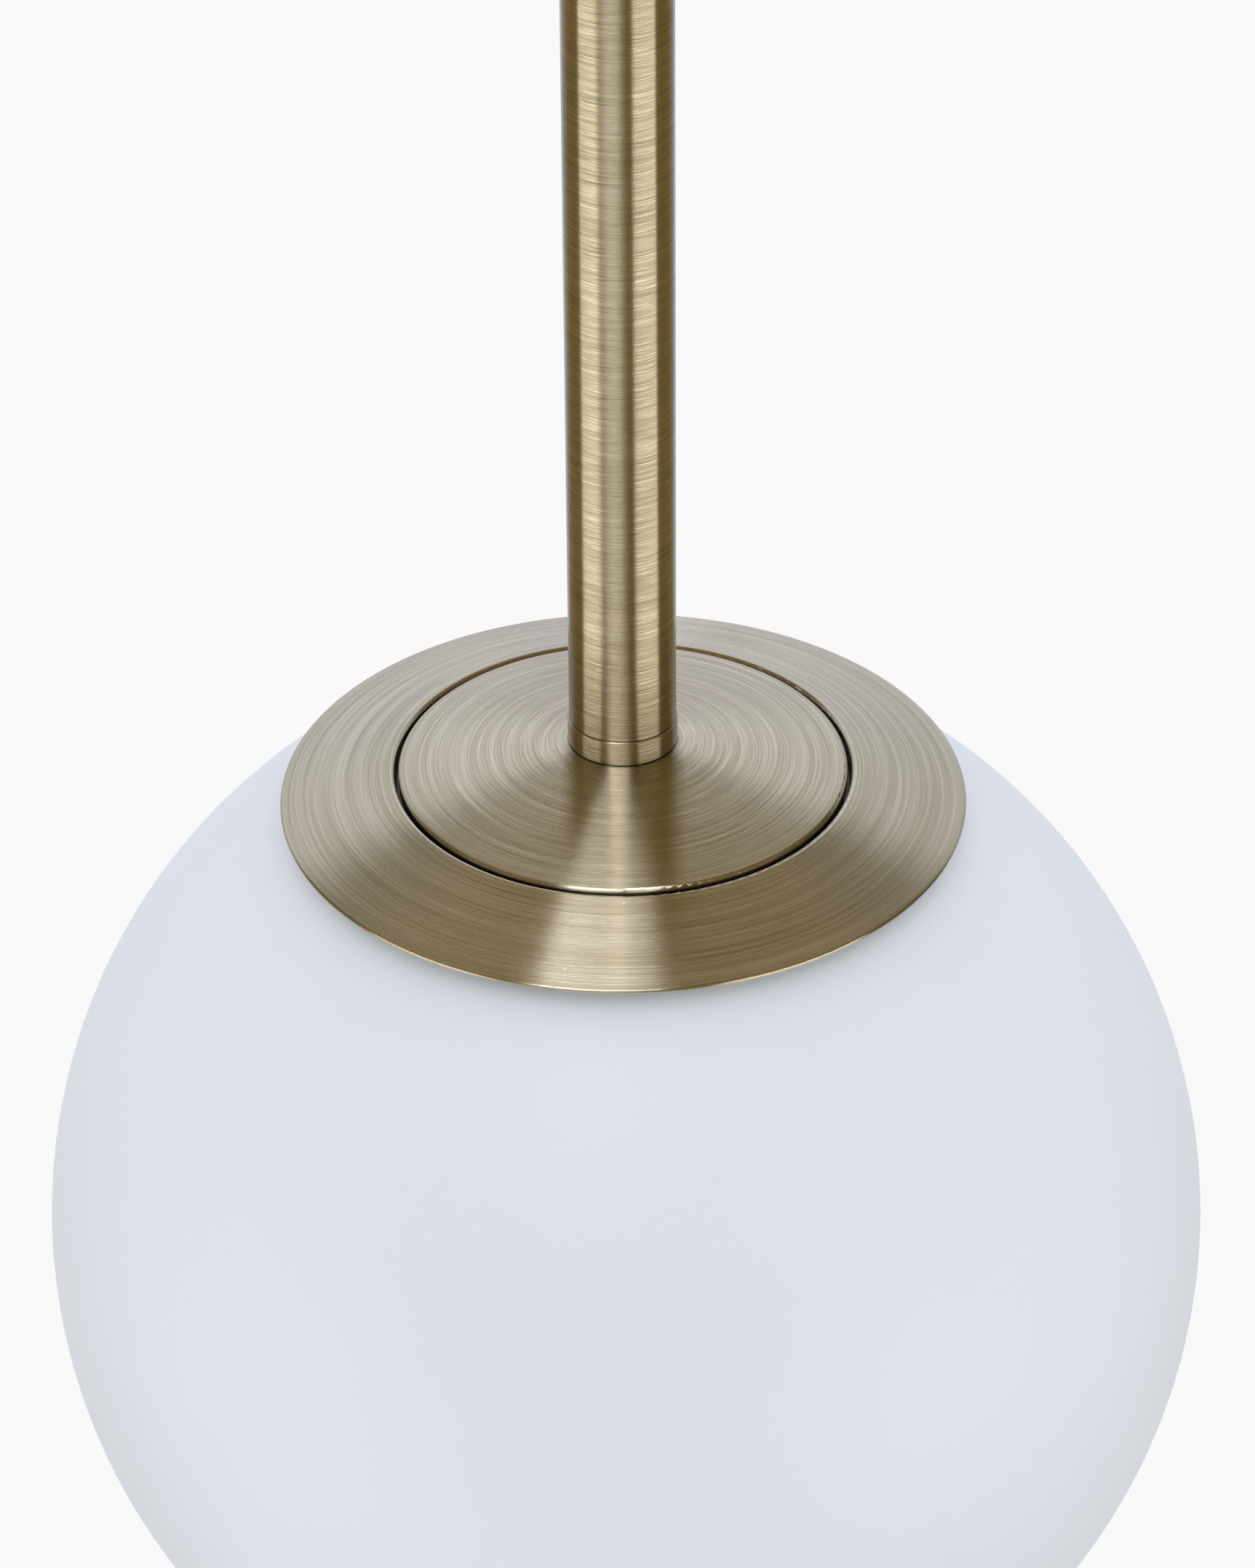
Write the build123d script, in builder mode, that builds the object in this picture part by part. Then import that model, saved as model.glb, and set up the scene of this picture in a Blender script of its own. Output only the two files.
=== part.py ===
from build123d import *
import os
from math import asin, cos, degrees, radians, sin, sqrt, tan

os.makedirs("parts", exist_ok=True)

# A ceiling light: a bracket and canopy, a ball swivel, a tube rod, and an opal glass globe on a spun ring.
# Millimetres. z = 0 is the ceiling, +Z points up, and everything hangs below it on the Z axis.

# Sheet, running gaps and threads
sheet = 0.6  # spun brass sheet
bend = 0.65  # outer radius of a spun corner
turn_gap = 0.05  # between faces that turn on each other
thread_gap = 0.08  # between a thread and its nut, both plain cylinders
soft_edge = 0.3  # broken edges on turned parts

# M10 hollow nipples with their nuts and washers
nipple_radius = 4.95
nipple_bore = 3.5
nipple_hole = 5.05  # radius of the holes that pass a nipple
nut_across_flats = 14.0
nut_thickness = 3.6
washer_inset = 0.6  # the washers are this much smaller than the collars
washer_thickness = 0.8
thread_in_bush = 12.0  # how far a nipple screws into the rod

# Ceiling bracket
bracket_thickness = 1.5
bracket_width = 18.0
slot_spacing = 70.0
slot_width = 4.8
slot_length = 12.0
supply_hole_radius = 5.5
ear_gap = 1.4  # between the ear and the inside of the canopy
ear_depth = 13.0
ear_screw_drop = 8.5  # from the ceiling to the canopy screws
terminal_tab_reach = 38.0
earth_tab_reach = 21.0
tab_width = 22.0
tab_corner = 3.0

# Terminal block
terminal_width = 20.0
terminal_depth = 16.0
terminal_height = 12.0
terminal_spacing = 10.0
terminal_way_drop = 5.0  # from the tab to the middle of a way
terminal_well_depth = 5.2
terminal_tube_radius = 2.5
terminal_tube_bore = 1.7
terminal_tube_length = 11.0
terminal_screw_radius = 1.25
terminal_screw_head = 2.0
terminal_screw_well = 2.2
terminal_screw_spacing = 6.0
terminal_edge_gap = 2.0  # from the block to the end of its tab
small_screw_radius = 1.5
small_screw_head_radius = 2.8
small_screw_head_height = 1.8

# Earth screw and tag
earth_screw_radius = 2.0
earth_screw_head_radius = 3.9
earth_screw_head_height = 2.5
earth_screw_inset = 5.5
tag_thickness = 0.8
tag_radius = 4.2
tag_tongue = 3.0
tag_barrel_radius = 1.9
tag_barrel_bore = 1.2
tag_barrel_length = 5.0
tag_barrel_gap = 0.5  # from a screw head or nut to the barrel

# Canopy
canopy_radius = 55.0
canopy_skirt = 18.0
canopy_cone_angle = 11.0
canopy_floor_radius = 17.5
canopy_bend = 3.0
canopy_screw_radius = 1.95
canopy_screw_hole = 2.2
canopy_screw_head_radius = 4.0
canopy_screw_head_height = 3.6
knurl_count = 20
knurl_radius = 0.35

# Swivel
ball_radius = 11.0
ball_gap = 0.06
neck_radius = 6.0
swivel_limit = 20.0
seat_angle_spare = 3.0  # kept between the neck and the seat at full tilt
seat_flare_spare = 5.0
seat_flange_radius = 15.5
seat_boss_radius = 13.0
seat_flange_depth = 7.0  # from the pivot down to the canopy floor
seat_boss_height = 2.5
seat_top_depth = 2.0
tilt_clearance = 0.8

# Rod and its collars
rod_radius = 8.0
rod_wall = 1.0
rod_length = 360.0
bush_length = 14.0
collar_radius = 8.2
collar_height = 4.1

# Centre cap
cap_radius = 33.65
cap_cone_angle = 10.8
cap_foot_gap = 0.9  # from the cap's skirt down to the ring's flange

# Shade ring
ring_gap = 0.55  # the dark line between the cap and the ring
ring_radius = 51.5
ring_cone_angle = 16.9
ring_bend = 0.65
recess_bend = 0.6
ring_edge_round = 0.3
ring_thread_radius = 29.0
ring_thread_height = 9.0

# Threaded carrier and slip washer
carrier_thickness = 1.25
carrier_wall = 1.5
carrier_radius = 32.3
carrier_depth = 9.2  # height of its threaded wall
slip_washer_thickness = 0.7
slip_washer_outer = 32.2
slip_washer_gap = 0.1
groove_depth = 0.9

# Glass globe
globe_radius = 90.0
glass_wall = 2.5
glass_hole_radius = 42.0
glass_lip_round = 0.7
gasket_inner = 43.4
gasket_outer = 47.6
gasket_thickness = 1.5
gasket_gap = 0.05  # between the gasket and the ring

# Glass clips
clip_count = 3
clip_width = 10.0
clip_thickness = 0.8
clip_root_radius = 31.2
clip_shoulder = 39.6
clip_rise_radius = 41.0
clip_tip_radius = 47.5
pad_thickness = 0.8
pad_inner = 42.8
pad_outer = 46.8
pad_width = 8.0

# Lampholder
holder_radius = 19.0
holder_wall = 1.8
holder_cap_height = 20.0
holder_shoulder = 5.0
holder_body_height = 31.0
holder_lip = 2.0
holder_mouth_radius = 14.4
insulator_thickness = 7.0
insulator_drop = 0.6
shell_radius = 13.25
shell_wall = 0.4
shell_height = 20.5
shell_flange_bore = 6.0
plunger_head_radius = 3.0
plunger_head_height = 3.0
plunger_stem_radius = 1.8
holder_terminal_size = 6.0
holder_terminal_offset = 8.5
holder_terminal_bore = 1.3
holder_screw_radius = 1.2
holder_screw_head = 2.0
holder_screw_reach = 1.6
leaf_width = 4.0
leaf_thickness = 0.4
stem_radius = 1.4

# Lamp
lamp_length = 78.0
lamp_tip_radius = 4.5
lamp_tip_height = 1.3
lamp_insulator_height = 5.5
lamp_insulator_top = 5.4
lamp_insulator_base = 12.2
lamp_cap_radius = 13.15
lamp_cap_wall = 0.4
lamp_cap_height = 17.0
lamp_housing_top = 13.8
lamp_ball_radius = 22.5
lamp_joint_angle = 31.0  # how far above the ball's middle the housing takes over
lamp_wall = 1.2
board_thickness = 1.2
board_seat = 2.0

# Flex and cores
flex_radius = 2.8
core_radius = 1.1
core_spread = 1.35
core_bend = 4.4
small_bend = 2.6
flex_stub = 1.0  # flex showing below the lower nipple
swing_room = 1.7  # between the flex and the tails above it, so that the swivel can tilt

# Heights worked out from the ceiling down
washer_radius = collar_radius - washer_inset
canopy_floor = -canopy_skirt - (canopy_radius - canopy_floor_radius) * tan(radians(canopy_cone_angle))
pivot = canopy_floor + sheet + seat_flange_depth
seat_bottom = pivot - seat_flange_depth - seat_boss_height
neck_length = (pivot - seat_bottom + tilt_clearance + collar_radius * sin(radians(swivel_limit))) / cos(
    radians(swivel_limit)
)
upper_collar_top = pivot - neck_length
rod_top = upper_collar_top - collar_height
rod_bottom = rod_top - rod_length
cap_top = rod_bottom - collar_height
cap_edge = cap_top - (cap_radius - collar_radius) * tan(radians(cap_cone_angle))
ring_inner = cap_radius + ring_gap
upper_nut_top = cap_top - sheet - washer_thickness
carrier_top = upper_nut_top - nut_thickness - washer_thickness
carrier_under = carrier_top - carrier_thickness
slip_top = carrier_under - turn_gap
ring_flange = slip_top - slip_washer_thickness - turn_gap
lower_nut_top = carrier_under - washer_thickness
holder_top = lower_nut_top - nut_thickness
tag_top = holder_top - holder_wall
holder_nut_top = tag_top - tag_thickness
nipple_end = holder_nut_top - nut_thickness - soft_edge
flex_end = nipple_end - flex_stub
holder_joint = holder_top - holder_cap_height
insulator_top = holder_joint - insulator_drop
insulator_under = insulator_top - insulator_thickness
holder_mouth = holder_joint - holder_body_height
lamp_top = insulator_under - plunger_head_height - turn_gap
lamp_bottom = lamp_top - lamp_length
ball_nut_bottom = pivot + washer_thickness
nipple_top = ball_nut_bottom + nut_thickness + soft_edge
tail_start = nipple_top + swing_room


def ring_under(radius):
    """Height of the underside of the shade ring's cone at a radius."""
    slope = radians(ring_cone_angle)
    return cap_edge - (radius - ring_inner) * tan(slope) - sheet / cos(slope)


gasket_middle = (gasket_inner + gasket_outer) / 2
globe_centre = (
    ring_under(gasket_middle) - gasket_thickness - sqrt(globe_radius**2 - gasket_middle**2)
)
glass_inside = globe_radius - glass_wall


def on_globe(radius, sphere):
    """Point above the globe's centre at a radius from the axis, on a sphere about that centre."""
    return (radius, globe_centre + sqrt(sphere**2 - radius**2))


def tube(outer, inner, bottom, height):
    """A plain ring or tube about the Z axis."""
    with BuildPart() as piece:
        with BuildSketch(Plane.XY.offset(bottom)):
            Circle(outer)
            Circle(inner, mode=Mode.SUBTRACT)
        extrude(amount=height)
    return piece.part


def hex_nut(bottom):
    """An M10 nut with both its faces chamfered."""
    corner = nut_across_flats / sqrt(3)
    with BuildPart() as piece:
        with BuildSketch(Plane.XY.offset(bottom)):
            RegularPolygon(nut_across_flats / 2, 6, major_radius=False)
            Circle(nipple_radius + thread_gap, mode=Mode.SUBTRACT)
        extrude(amount=nut_thickness)
        with BuildSketch(Plane.XY.offset(bottom)):
            Circle(corner)
        extrude(amount=nut_thickness, mode=Mode.INTERSECT)
        chamfer(piece.edges().filter_by(GeomType.CIRCLE), length=soft_edge)
    return piece.part


def core(points, bend_radius):
    """One insulated core: straight runs joined by arcs, as round wire."""
    with BuildPart() as piece:
        with BuildLine() as route:
            FilletPolyline(*points, radius=bend_radius)
        with BuildSketch(Plane(origin=route.line @ 0, z_dir=route.line % 0)):
            Circle(core_radius)
        sweep(path=route.line)
    return piece.part


def polar_point(radius, angle):
    """Point in plan at a radius and an angle in degrees."""
    return (radius * cos(radians(angle)), radius * sin(radians(angle)))


# ---------------------------------------------------------------- ceiling bracket and what is fixed to it

ear_face = canopy_radius - sheet - ear_gap
ear_screw_level = -ear_screw_drop
earth_screw_y = -(earth_tab_reach - earth_screw_inset)
terminal_y = terminal_tab_reach - terminal_edge_gap - terminal_depth / 2
terminal_way = -bracket_thickness - terminal_way_drop
terminal_under = -bracket_thickness - terminal_height

# The bracket is pressed from steel strip: a bar with two slots, two turned-down ears and two tabs.
with BuildPart() as ceiling_bracket:
    with BuildSketch(Plane.XY.offset(-bracket_thickness)):
        Rectangle(2 * ear_face, bracket_width)
        with Locations((0, (terminal_tab_reach - earth_tab_reach) / 2)):
            RectangleRounded(tab_width, terminal_tab_reach + earth_tab_reach, tab_corner)
        with Locations((-slot_spacing / 2, 0), (slot_spacing / 2, 0)):
            SlotOverall(slot_length, slot_width, mode=Mode.SUBTRACT)
        Circle(supply_hole_radius, mode=Mode.SUBTRACT)
        with Locations((0, terminal_y)):
            Circle(small_screw_radius, mode=Mode.SUBTRACT)
        with Locations((0, earth_screw_y)):
            Circle(earth_screw_radius, mode=Mode.SUBTRACT)
    extrude(amount=bracket_thickness)
    for side in (-1, 1):
        with Locations((side * (ear_face - bracket_thickness / 2), 0, 0)):
            Box(
                bracket_thickness,
                bracket_width,
                ear_depth,
                align=(Align.CENTER, Align.CENTER, Align.MAX),
            )
    with Locations((0, 0, ear_screw_level)):
        Cylinder(canopy_screw_radius, 2 * canopy_radius, rotation=(0, 90, 0), mode=Mode.SUBTRACT)
    fillet(ceiling_bracket.edges().filter_by(Axis.X).group_by(Axis.Z)[0], radius=tab_corner)
ceiling_bracket.part.label = "ceiling_bracket"
export_step(ceiling_bracket.part, "parts/ceiling_bracket.step")

# The terminal block is a moulded housing under the long tab, with two through ways for brass tubes.
with BuildPart() as terminal_housing:
    with Locations((0, terminal_y, -bracket_thickness)):
        Box(
            terminal_width,
            terminal_depth,
            terminal_height,
            align=(Align.CENTER, Align.CENTER, Align.MAX),
        )
    fillet(terminal_housing.edges().filter_by(Axis.Z), radius=1.5 * soft_edge)
    with BuildSketch(Plane.XZ.offset(-terminal_y)):
        with Locations((0, terminal_way)):
            with GridLocations(terminal_spacing, 1, 2, 1):
                Circle(terminal_tube_radius)
    extrude(amount=terminal_depth / 2, both=True, mode=Mode.SUBTRACT)
    with BuildSketch(Plane.XY.offset(terminal_under)):
        with Locations((0, terminal_y)):
            with GridLocations(terminal_spacing, terminal_screw_spacing, 2, 2):
                Circle(terminal_screw_well)
    extrude(amount=terminal_well_depth, mode=Mode.SUBTRACT)
    with BuildSketch(Plane.XY.offset(terminal_under)):
        with Locations((0, terminal_y)):
            Circle(small_screw_radius)
    extrude(amount=terminal_height, mode=Mode.SUBTRACT)
terminal_housing.part.label = "terminal_housing"
export_step(terminal_housing.part, "parts/terminal_housing.step")

with BuildPart() as terminal_tubes:
    with BuildSketch(Plane.XZ.offset(-terminal_y)):
        with Locations((0, terminal_way)):
            with GridLocations(terminal_spacing, 1, 2, 1):
                Circle(terminal_tube_radius)
                Circle(terminal_tube_bore, mode=Mode.SUBTRACT)
    extrude(amount=terminal_tube_length / 2, both=True)
terminal_tubes.part.label = "terminal_tubes"
export_step(terminal_tubes.part, "parts/terminal_tubes.step")

# Each clamping screw sits in a well and ends on its tube.
with BuildPart() as terminal_screws:
    with BuildSketch(Plane.XY.offset(terminal_under + soft_edge)):
        with Locations((0, terminal_y)):
            with GridLocations(terminal_spacing, terminal_screw_spacing, 2, 2):
                Circle(terminal_screw_head)
    extrude(amount=terminal_screw_head)
    with BuildSketch(Plane.XY.offset(terminal_under + soft_edge)):
        with Locations((0, terminal_y)):
            with GridLocations(terminal_spacing, terminal_screw_spacing, 2, 2):
                Rectangle(2 * terminal_screw_head, soft_edge * 2)
    extrude(amount=soft_edge * 2, mode=Mode.SUBTRACT)
    with BuildSketch(Plane.XY.offset(terminal_under + terminal_screw_head)):
        with Locations((0, terminal_y)):
            with GridLocations(terminal_spacing, terminal_screw_spacing, 2, 2):
                Circle(terminal_screw_radius)
    extrude(amount=terminal_way - terminal_tube_radius - terminal_under - terminal_screw_head)
terminal_screws.part.label = "terminal_screws"
export_step(terminal_screws.part, "parts/terminal_screws.step")

with BuildPart() as terminal_fixing_screw:
    with BuildSketch(Plane.XY.offset(terminal_under - small_screw_head_height)):
        with Locations((0, terminal_y)):
            Circle(small_screw_head_radius)
    extrude(amount=small_screw_head_height)
    fillet(terminal_fixing_screw.edges().group_by(Axis.Z)[0], radius=2 * soft_edge)
    with BuildSketch(Plane.XY.offset(terminal_under - small_screw_head_height)):
        with Locations((0, terminal_y)):
            Rectangle(2 * small_screw_head_radius, 2 * soft_edge)
    extrude(amount=2 * soft_edge, mode=Mode.SUBTRACT)
    with BuildSketch(Plane.XY.offset(terminal_under)):
        with Locations((0, terminal_y)):
            Circle(small_screw_radius)
    extrude(amount=-terminal_under)
terminal_fixing_screw.part.label = "terminal_fixing_screw"
export_step(terminal_fixing_screw.part, "parts/terminal_fixing_screw.step")

# The earth screw clamps a ring tag under the short tab; the tag's barrel lies towards the axis.
with BuildPart() as earth_screw:
    with BuildSketch(Plane.XY.offset(-bracket_thickness - tag_thickness - earth_screw_head_height)):
        with Locations((0, earth_screw_y)):
            Circle(earth_screw_head_radius)
    extrude(amount=earth_screw_head_height)
    fillet(earth_screw.edges().group_by(Axis.Z)[0], radius=3 * soft_edge)
    with BuildSketch(Plane.XY.offset(-bracket_thickness - tag_thickness - earth_screw_head_height)):
        with Locations((0, earth_screw_y)):
            Rectangle(2 * soft_edge, earth_screw_head_radius)
            Rectangle(earth_screw_head_radius, 2 * soft_edge)
    extrude(amount=earth_screw_head_height / 2, mode=Mode.SUBTRACT)
    with BuildSketch(Plane.XY.offset(-bracket_thickness - tag_thickness)):
        with Locations((0, earth_screw_y)):
            Circle(earth_screw_radius)
    extrude(amount=bracket_thickness + tag_thickness)
earth_screw.part.label = "earth_screw"
export_step(earth_screw.part, "parts/earth_screw.step")

bracket_barrel_y = earth_screw_y + earth_screw_head_radius + tag_barrel_gap
bracket_barrel_level = -bracket_thickness - tag_barrel_radius
with BuildPart() as bracket_earth_tag:
    with BuildSketch(Plane.XY.offset(-bracket_thickness - tag_thickness)):
        with Locations((0, earth_screw_y)):
            Circle(tag_radius)
        with Locations((0, earth_screw_y)):
            Rectangle(
                tag_tongue,
                bracket_barrel_y - earth_screw_y + tag_thickness,
                align=(Align.CENTER, Align.MIN),
            )
        with Locations((0, earth_screw_y)):
            Circle(earth_screw_radius, mode=Mode.SUBTRACT)
    extrude(amount=tag_thickness)
    with BuildSketch(Plane.XZ.offset(-bracket_barrel_y)):
        with Locations((0, bracket_barrel_level)):
            Circle(tag_barrel_radius)
    extrude(amount=-tag_barrel_length)
    with BuildSketch(Plane.XZ.offset(-bracket_barrel_y - tag_thickness)):
        with Locations((0, bracket_barrel_level)):
            Circle(tag_barrel_bore)
    extrude(amount=-tag_barrel_length, mode=Mode.SUBTRACT)
bracket_earth_tag.part.label = "bracket_earth_tag"
export_step(bracket_earth_tag.part, "parts/bracket_earth_tag.step")

# Three cores rise from the swivel: live and neutral to the terminal block, earth to the tag.
live_x, core_y = polar_point(core_spread, 150)
earth_core_y = -core_spread
tail_top = -bracket_thickness - core_radius - tag_thickness
way_x = -terminal_spacing / 2
way_mouth = terminal_y - terminal_tube_length / 2
tail_bend_y = terminal_y - terminal_depth / 2 - core_bend

live_tail = core(
    [
        (live_x, core_y, tail_start),
        (live_x, core_y, tail_top),
        (way_x, tail_bend_y, terminal_way),
        (way_x, way_mouth, terminal_way),
    ],
    core_bend,
)
live_tail.label = "live_tail"
export_step(live_tail, "parts/live_tail.step")

neutral_tail = mirror(live_tail, about=Plane.YZ)
neutral_tail.label = "neutral_tail"
export_step(neutral_tail, "parts/neutral_tail.step")

earth_tail = core(
    [
        (0, earth_core_y, tail_start),
        (0, earth_core_y, bracket_barrel_level),
        (0, bracket_barrel_y + tag_thickness, bracket_barrel_level),
    ],
    core_bend,
)
earth_tail.label = "earth_tail"
export_step(earth_tail, "parts/earth_tail.step")

# ---------------------------------------------------------------- canopy

# The canopy is spun from one brass sheet: a straight skirt, a shallow cone and a flat floor with a hole.
with BuildPart() as canopy:
    with BuildSketch(Plane.XZ):
        with BuildLine():
            FilletPolyline(
                (canopy_radius, 0),
                (canopy_radius, -canopy_skirt),
                (canopy_floor_radius, canopy_floor),
                (seat_boss_radius + thread_gap, canopy_floor),
                radius=canopy_bend,
            )
            offset(amount=sheet, side=Side.RIGHT)
        make_face()
    revolve(axis=Axis.Z)
    with Locations((0, 0, ear_screw_level)):
        Cylinder(canopy_screw_hole, 3 * canopy_radius, rotation=(0, 90, 0), mode=Mode.SUBTRACT)
canopy.part.label = "canopy"
export_step(canopy.part, "parts/canopy.step")

# Two knurled screws pass through the skirt into the bracket's ears.
with BuildPart() as canopy_screws:
    for side in (-1, 1):
        outward = Plane(origin=(side * canopy_radius, 0, ear_screw_level), z_dir=(side, 0, 0))
        with BuildSketch(outward):
            Circle(canopy_screw_head_radius)
            with PolarLocations(canopy_screw_head_radius, knurl_count):
                Circle(knurl_radius, mode=Mode.SUBTRACT)
        extrude(amount=canopy_screw_head_height)
        with BuildSketch(outward):
            Circle(canopy_screw_radius)
        extrude(amount=-(canopy_radius - ear_face + 2 * bracket_thickness))
canopy_screws.part.label = "canopy_screws"
export_step(canopy_screws.part, "parts/canopy_screws.step")

# ---------------------------------------------------------------- ball swivel

neck_angle = degrees(asin(neck_radius / ball_radius))
seat_angle = radians(neck_angle + swivel_limit + seat_angle_spare)
seat_sphere = ball_radius + ball_gap
seat_mouth_radius = seat_sphere * sin(seat_angle)
seat_mouth_depth = seat_sphere * cos(seat_angle)
seat_drop = seat_flange_depth + seat_boss_height
seat_flare = tan(radians(swivel_limit + seat_flare_spare))

# The seat ring rests on the canopy's floor and turns in its hole. Inside it is a spherical cup.
with BuildPart() as swivel_seat:
    with BuildSketch(Plane.XZ):
        with BuildLine():
            Polyline(
                (seat_mouth_radius, pivot - seat_mouth_depth),
                (seat_mouth_radius + (seat_drop - seat_mouth_depth) * seat_flare, pivot - seat_drop),
                (seat_boss_radius, pivot - seat_drop),
                (seat_boss_radius, pivot - seat_flange_depth),
                (seat_flange_radius, pivot - seat_flange_depth),
                (seat_flange_radius, pivot - seat_top_depth),
                (sqrt(seat_sphere**2 - seat_top_depth**2), pivot - seat_top_depth),
            )
            RadiusArc(
                (sqrt(seat_sphere**2 - seat_top_depth**2), pivot - seat_top_depth),
                (seat_mouth_radius, pivot - seat_mouth_depth),
                seat_sphere,
            )
        make_face()
    revolve(axis=Axis.Z)
    chamfer(swivel_seat.edges().group_by(Axis.Z)[-1].sort_by(SortBy.LENGTH)[-1], length=soft_edge)
swivel_seat.part.label = "swivel_seat"
export_step(swivel_seat.part, "parts/swivel_seat.step")

# The half ball and its neck are turned from one bar. Its flat top is at the height of the pivot.
with BuildPart() as swivel_ball:
    with BuildSketch(Plane.XZ):
        with BuildLine():
            Polyline(
                (nipple_hole, upper_collar_top),
                (neck_radius, upper_collar_top),
                (neck_radius, pivot - sqrt(ball_radius**2 - neck_radius**2)),
            )
            RadiusArc(
                (neck_radius, pivot - sqrt(ball_radius**2 - neck_radius**2)),
                (ball_radius, pivot),
                -ball_radius,
            )
            Polyline((ball_radius, pivot), (nipple_hole, pivot), (nipple_hole, upper_collar_top))
        make_face()
    revolve(axis=Axis.Z)
swivel_ball.part.label = "swivel_ball"
export_step(swivel_ball.part, "parts/swivel_ball.step")

# ---------------------------------------------------------------- rod and the hardware that goes through it

with BuildPart() as rod:
    with BuildSketch(Plane.XY.offset(rod_bottom)):
        Circle(rod_radius)
        Circle(rod_radius - rod_wall, mode=Mode.SUBTRACT)
    extrude(amount=rod_length)
    rims = rod.edges().filter_by(GeomType.CIRCLE).sort_by(SortBy.RADIUS)[-2:]
    chamfer(rims, length=soft_edge / 2)
rod.part.label = "rod"
export_step(rod.part, "parts/rod.step")

# A threaded bush is brazed into each end of the rod.
with BuildPart() as rod_bushes:
    for bush_bottom in (rod_bottom, rod_top - bush_length):
        with BuildSketch(Plane.XY.offset(bush_bottom)):
            Circle(rod_radius - rod_wall)
            Circle(nipple_radius + thread_gap, mode=Mode.SUBTRACT)
        extrude(amount=bush_length)
rod_bushes.part.label = "rod_bushes"
export_step(rod_bushes.part, "parts/rod_bushes.step")

collar_bottoms = {"upper_collar": rod_top, "rod_collar": cap_top}
for name, bottom in collar_bottoms.items():
    with BuildPart() as collar:
        with BuildSketch(Plane.XY.offset(bottom)):
            Circle(collar_radius)
            Circle(nipple_hole, mode=Mode.SUBTRACT)
        extrude(amount=collar_height)
        rims = collar.edges().filter_by(GeomType.CIRCLE).sort_by(SortBy.RADIUS)[-2:]
        fillet(rims, radius=soft_edge)
    collar.part.label = name
    export_step(collar.part, f"parts/{name}.step")

upper_nipple_foot = rod_top - thread_in_bush
upper_nipple = tube(nipple_radius, nipple_bore, upper_nipple_foot, nipple_top - upper_nipple_foot)
upper_nipple.label = "upper_nipple"
export_step(upper_nipple, "parts/upper_nipple.step")

lower_nipple = tube(nipple_radius, nipple_bore, nipple_end, rod_bottom + thread_in_bush - nipple_end)
lower_nipple.label = "lower_nipple"
export_step(lower_nipple, "parts/lower_nipple.step")

# Washers lie on the ball, under the cap, and on both sides of the carrier.
washer_levels = (pivot, cap_top - sheet - washer_thickness, carrier_top, lower_nut_top)
with BuildPart() as nipple_washers:
    for level in washer_levels:
        with BuildSketch(Plane.XY.offset(level)):
            Circle(washer_radius)
            Circle(nipple_hole, mode=Mode.SUBTRACT)
        extrude(amount=washer_thickness)
nipple_washers.part.label = "nipple_washers"
export_step(nipple_washers.part, "parts/nipple_washers.step")

nut_levels = (ball_nut_bottom, upper_nut_top - nut_thickness, holder_top, holder_nut_top - nut_thickness)
nipple_nuts = Compound(children=[hex_nut(level) for level in nut_levels])
nipple_nuts.label = "nipple_nuts"
export_step(nipple_nuts, "parts/nipple_nuts.step")

flex = tube(flex_radius, core_radius / 2, flex_end, nipple_top - flex_end)
flex.label = "flex"
export_step(flex, "parts/flex.step")

# ---------------------------------------------------------------- centre cap, carrier and slip washer

with BuildPart() as centre_cap:
    with BuildSketch(Plane.XZ):
        with BuildLine():
            FilletPolyline(
                (nipple_hole, cap_top),
                (collar_radius, cap_top),
                (cap_radius, cap_edge),
                (cap_radius, ring_flange + cap_foot_gap),
                radius=bend,
            )
            offset(amount=sheet, side=Side.RIGHT)
        make_face()
    revolve(axis=Axis.Z)
centre_cap.part.label = "centre_cap"
export_step(centre_cap.part, "parts/centre_cap.step")

# The carrier is a turned cup. The ring screws on its wall, and a groove above the thread holds the washer.
carrier_thread = ring_thread_radius - thread_gap
groove_radius = carrier_thread - groove_depth
with BuildPart() as shade_carrier:
    with BuildSketch(Plane.XZ):
        with BuildLine():
            Polyline(
                (nipple_hole, carrier_top),
                (carrier_radius, carrier_top),
                (carrier_radius, carrier_under),
                (groove_radius, carrier_under),
                (groove_radius, ring_flange),
                (carrier_thread, ring_flange),
                (carrier_thread, carrier_under - carrier_depth),
                (groove_radius - carrier_wall, carrier_under - carrier_depth),
                (groove_radius - carrier_wall, carrier_under),
                (nipple_hole, carrier_under),
                close=True,
            )
        make_face()
    revolve(axis=Axis.Z)
shade_carrier.part.label = "shade_carrier"
export_step(shade_carrier.part, "parts/shade_carrier.step")

slip_washer = tube(
    slip_washer_outer,
    groove_radius + slip_washer_gap,
    slip_top - slip_washer_thickness,
    slip_washer_thickness,
)
slip_washer.label = "slip_washer"
export_step(slip_washer, "parts/slip_washer.step")

# ---------------------------------------------------------------- shade ring, clips and glass

# The ring is one spun sheet: a threaded collar, a flange, a short wall round the cap and the outer cone.
ring_foot = ring_flange - ring_thread_height
ring_rim = cap_edge - (ring_radius - ring_inner) * tan(radians(ring_cone_angle))
with BuildPart() as shade_ring:
    with BuildSketch(Plane.XZ):
        with BuildLine():
            FilletPolyline(
                (ring_thread_radius, ring_foot),
                (ring_thread_radius, ring_flange),
                (ring_inner, ring_flange),
                (ring_inner, cap_edge),
                (ring_radius, ring_rim),
                radius=[ring_bend, recess_bend, ring_bend],
            )
            offset(amount=sheet, side=Side.RIGHT)
        make_face()
    revolve(axis=Axis.Z)
    rim = shade_ring.edges().filter_by(GeomType.CIRCLE).sort_by(SortBy.RADIUS)[-1]
    fillet(rim, radius=ring_edge_round)
shade_ring.part.label = "shade_ring"
export_step(shade_ring.part, "parts/shade_ring.step")

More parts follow.
